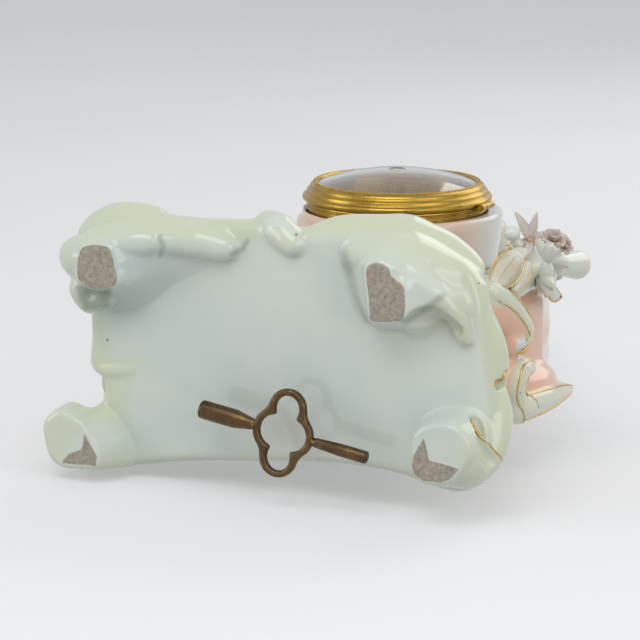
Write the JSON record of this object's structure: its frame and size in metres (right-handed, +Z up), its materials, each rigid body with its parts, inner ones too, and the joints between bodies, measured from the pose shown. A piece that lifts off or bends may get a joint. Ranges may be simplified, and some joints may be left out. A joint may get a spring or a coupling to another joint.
{
  "type": "mantel clock",
  "caption": "Rococo porcelain mantel clock with a seated child on a drum case, flower sprays and scroll feet, a hinged gilt bezel over a pendulum movement, and a loose double-ended key.",
  "frame": {"origin": "on the standing plane of the feet, under the middle of the clock", "axes": "+Z up, -Y toward someone who reads the dial, +X on that reader's right"},
  "size_m": [0.2302, 0.1334, 0.326],
  "materials": {
    "porcelain": "glossy",
    "flower_porcelain": "glossy",
    "gilt_brass": "polished",
    "brass": "satin",
    "steel": "satin",
    "bronze": "worn dark patina",
    "clear_glass": "polished",
    "enamel": "glossy"
  },
  "bodies": {
    "clock": {"back_plate": "brass", "base": "porcelain", "bezel_hinge_pin": "gilt_brass", "bezel_ring": "gilt_brass", "click_screw": "steel", "dial": "enamel", "dial_centre": "gilt_brass", "drum": "porcelain", "figure": "porcelain", "flowers_left": "flower_porcelain", "flowers_right": "flower_porcelain", "front_left_foot": "porcelain", "front_plate": "brass", "front_right_foot": "porcelain", "minute_post": "steel", "movement_posts": "brass", "movement_straps": "brass", "pedestal": "porcelain", "plate_pillars": "brass", "plate_screws": "steel", "rear_door_pin": "brass", "rear_left_foot": "porcelain", "rear_right_foot": "porcelain", "rear_ring": "brass", "seat": "porcelain", "strap_screws": "steel", "suspension_bridge": "brass", "suspension_spring": "steel"},
    "bezel_frame": {"bezel": "gilt_brass", "glass": "clear_glass"},
    "back_door": {"rear_door": "brass"},
    "minute_hand_work": {"minute_hand": "gilt_brass", "hand_nut": "gilt_brass", "cannon_pinion": "steel"},
    "hour_hand_work": {"hour_hand": "gilt_brass", "hour_wheel": "brass"},
    "minute_wheel_work": {"minute_wheel": "brass"},
    "centre_work": {"centre_wheel": "brass", "centre_arbor": "steel"},
    "second_work": {"second_wheel": "brass", "second_arbor": "steel"},
    "barrel_work": {"barrel": "brass", "barrel_cover": "brass", "mainspring": "steel"},
    "third_work": {"third_wheel": "brass", "third_arbor": "steel"},
    "escape_work": {"escape_wheel": "brass", "escape_arbor": "steel"},
    "winding_work": {"barrel_arbor": "steel", "ratchet_wheel": "steel"},
    "click_work": {"click": "steel"},
    "regulator_work": {"regulator_arbor": "steel"},
    "pendulum": {"anchor": "steel", "anchor_arbor": "steel", "pendulum_rod": "steel", "pendulum_bob": "brass"},
    "key": {"key_bow": "bronze", "key_winding_pipe": "bronze", "key_regulator_pipe": "bronze"}
  },
  "joints": [
    {"name": "bezel_hinge", "type": "hinge", "parent": "clock", "child": "bezel_frame", "pos_m": [0.048, -0.047, 0.168], "axis": [0, 0, 1], "range_deg": [0, 110.01]},
    {"name": "back_door_hinge", "type": "hinge", "parent": "clock", "child": "back_door", "pos_m": [0.0495, 0.0455, 0.168], "axis": [0, 0, -1], "range_deg": [0, 110.01]},
    {"name": "minute_hand_turn", "type": "hinge", "parent": "clock", "child": "minute_hand_work", "pos_m": [0, -0.04, 0.168], "axis": [0, -1, 0], "continuous": true},
    {"name": "hour_hand_turn", "type": "hinge", "parent": "clock", "child": "hour_hand_work", "pos_m": [0, -0.038, 0.168], "axis": [0, -1, 0], "continuous": true},
    {"name": "minute_wheel_turn", "type": "hinge", "parent": "clock", "child": "minute_wheel_work", "pos_m": [0.00766, -0.033, 0.17443], "axis": [0, -1, 0], "continuous": true},
    {"name": "centre_turn", "type": "hinge", "parent": "clock", "child": "centre_work", "pos_m": [0, -0.015, 0.168], "axis": [0, -1, 0], "continuous": true},
    {"name": "second_turn", "type": "hinge", "parent": "clock", "child": "second_work", "pos_m": [0.01047, -0.012, 0.16214], "axis": [0, -1, 0], "continuous": true},
    {"name": "barrel_turn", "type": "hinge", "parent": "clock", "child": "barrel_work", "pos_m": [0, -0.018, 0.149], "axis": [0, -1, 0], "continuous": true},
    {"name": "third_turn", "type": "hinge", "parent": "clock", "child": "third_work", "pos_m": [-0.00771, -0.01, 0.17719], "axis": [0, -1, 0], "continuous": true},
    {"name": "escape_turn", "type": "hinge", "parent": "clock", "child": "escape_work", "pos_m": [0, -0.012, 0.18531], "axis": [0, -1, 0], "continuous": true},
    {"name": "winding_turn", "type": "hinge", "parent": "clock", "child": "winding_work", "pos_m": [0, -0.034, 0.149], "axis": [0, -1, 0], "continuous": true},
    {"name": "click_lift", "type": "hinge", "parent": "clock", "child": "click_work", "pos_m": [0.0125, -0.031, 0.15], "axis": [0, -1, 0], "range_deg": [-11.46, 0]},
    {"name": "regulator_turn", "type": "hinge", "parent": "clock", "child": "regulator_work", "pos_m": [0, -0.04, 0.201], "axis": [0, -1, 0], "continuous": true},
    {"name": "pendulum_swing", "type": "hinge", "parent": "clock", "child": "pendulum", "pos_m": [0, 0.008, 0.19581], "axis": [0, -1, 0], "range_deg": [-4, 4]},
    {"name": "key_slide", "type": "slide", "parent": "clock", "child": "key", "axis": [0, 1, 0], "range_m": [0, 0.16]}
  ],
  "couplings": [
    {"joint": "hour_hand_turn", "follows": "minute_hand_turn", "ratio": 0.083333},
    {"joint": "minute_wheel_turn", "follows": "minute_hand_turn", "ratio": -0.33333},
    {"joint": "third_turn", "follows": "centre_turn", "ratio": -5},
    {"joint": "escape_turn", "follows": "centre_turn", "ratio": 30},
    {"joint": "second_turn", "follows": "centre_turn", "ratio": -0.2},
    {"joint": "barrel_turn", "follows": "centre_turn", "ratio": 0.033333}
  ]
}
